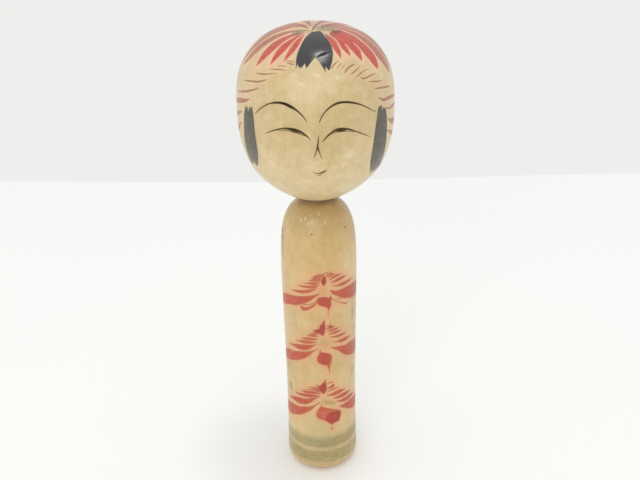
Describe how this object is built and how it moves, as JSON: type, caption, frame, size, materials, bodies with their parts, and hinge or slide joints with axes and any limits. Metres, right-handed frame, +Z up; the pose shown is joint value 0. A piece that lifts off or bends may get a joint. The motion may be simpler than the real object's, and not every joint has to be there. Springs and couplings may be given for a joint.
{
  "type": "kokeshi doll",
  "caption": "Turned wooden kokeshi doll: a straight domed body and a large rounded head that turns on a push-fit neck tenon, painted with face, crown petals and stacked flowers.",
  "frame": {"origin": "centre of the standing face, on the lathe axis", "axes": "+Z up along the lathe axis, -Y the way the face looks at rest, +X to the right of someone who faces the doll"},
  "size_m": [0.0722, 0.0722, 0.24],
  "materials": {
    "body_wood": "fine-grained pale turned wood under a thin wax, aged golden, with red flowers and faded green bands painted on in dye",
    "head_wood": "fine-grained pale turned wood under a thin wax, lightly stained, with a painted face, black hair and red crown petals"
  },
  "bodies": {
    "body": {"body": "body_wood"},
    "head": {"head": "head_wood"}
  },
  "joints": [
    {"name": "head_turn", "type": "hinge", "parent": "body", "child": "head", "pos_m": [0, 0, 0.16], "axis": [0, 0, 1], "continuous": true}
  ]
}
